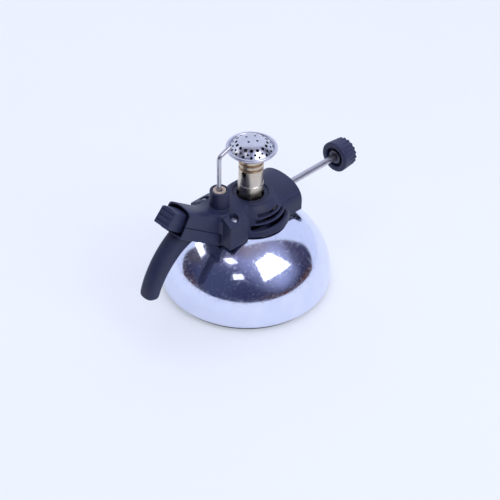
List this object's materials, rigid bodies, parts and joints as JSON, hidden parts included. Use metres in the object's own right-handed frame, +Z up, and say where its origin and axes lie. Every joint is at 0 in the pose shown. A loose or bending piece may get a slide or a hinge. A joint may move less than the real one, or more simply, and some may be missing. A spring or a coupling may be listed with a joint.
{
  "type": "table burner",
  "caption": "Small domed gas burner with a louvred plastic housing, curved handle, piezo ignition button, perforated burner head, and a flame adjuster on a long rod.",
  "frame": {"origin": "on the table, under the middle of the overall length, 1.6 mm from the axis of the domed tank towards the knob", "axes": "+Z up; +X runs from the burner out along the adjuster rod to its knob; +Y is to the left of someone looking along +X"},
  "size_m": [0.1525, 0.0944, 0.0956],
  "materials": {
    "chrome": "mirror-polished chrome plate with faint polishing haze",
    "bright_steel": "bright drawn or pressed stainless steel",
    "base_steel": "plain pressed sheet",
    "nickel": "nickel-plated brass, heat-tinted to brown gold in the grooves",
    "brass": "turned, as machined",
    "black_plastic": "fine moulded grain with a soft sheen",
    "case_plastic": "moulded",
    "pale_plastic": "moulded",
    "knob_hub": "dark anodised",
    "black_rubber": "matte",
    "ceramic": "unglazed tan ceramic",
    "lead_cover": "silicone sleeve",
    "wick_felt": "felt"
  },
  "bodies": {
    "base": {"tank_shell": "chrome", "burner_cap": "bright_steel", "burner_cup": "bright_steel", "flame_gauze": "bright_steel", "electrode": "bright_steel", "housing_screw_near": "bright_steel", "housing_screw_far": "bright_steel", "refill_valve_spring": "bright_steel", "button_spring": "bright_steel", "tank_base": "base_steel", "burner_tube": "nickel", "valve_body": "brass", "gas_jet": "brass", "gland_nut": "brass", "refill_valve_body": "brass", "upper_housing": "black_plastic", "lower_housing": "black_plastic", "piezo_case": "case_plastic", "foot_ring": "black_rubber", "tank_gasket": "black_rubber", "gland_seal": "black_rubber", "refill_valve_seal": "black_rubber", "insulator": "ceramic", "ignition_lead": "lead_cover", "gas_wick": "wick_felt"},
    "needle": {"needle": "bright_steel"},
    "adjuster": {"adjuster_rod": "bright_steel", "knob_insert": "knob_hub", "adjuster_knob": "black_plastic"},
    "button": {"ignition_button": "black_plastic", "piezo_plunger": "pale_plastic"},
    "refill_stem": {"refill_valve_stem": "brass"}
  },
  "joints": [
    {"name": "needle_travel", "type": "slide", "parent": "base", "child": "needle", "axis": [1, 0, 0], "range_m": [0, 0.001]},
    {"name": "knob_turn", "type": "hinge", "parent": "needle", "child": "adjuster", "pos_m": [0.03, 0, 0.0483], "axis": [1, 0, 0], "range_deg": [0, 450]},
    {"name": "button_press", "type": "slide", "parent": "base", "child": "button", "axis": [0.8746, 0, -0.4848], "range_m": [0, 0.0045], "stiffness_N_per_m": 800, "springref_m": -0.003, "deforming": ["button_spring"]},
    {"name": "refill_press", "type": "slide", "parent": "base", "child": "refill_stem", "axis": [0, 0, 1], "range_m": [0, 0.0015], "stiffness_N_per_m": 1500, "springref_m": -0.001, "deforming": ["refill_valve_spring"]}
  ],
  "couplings": [
    {"joint": "knob_turn", "follows": "needle_travel", "rad_per_m": 7854}
  ]
}
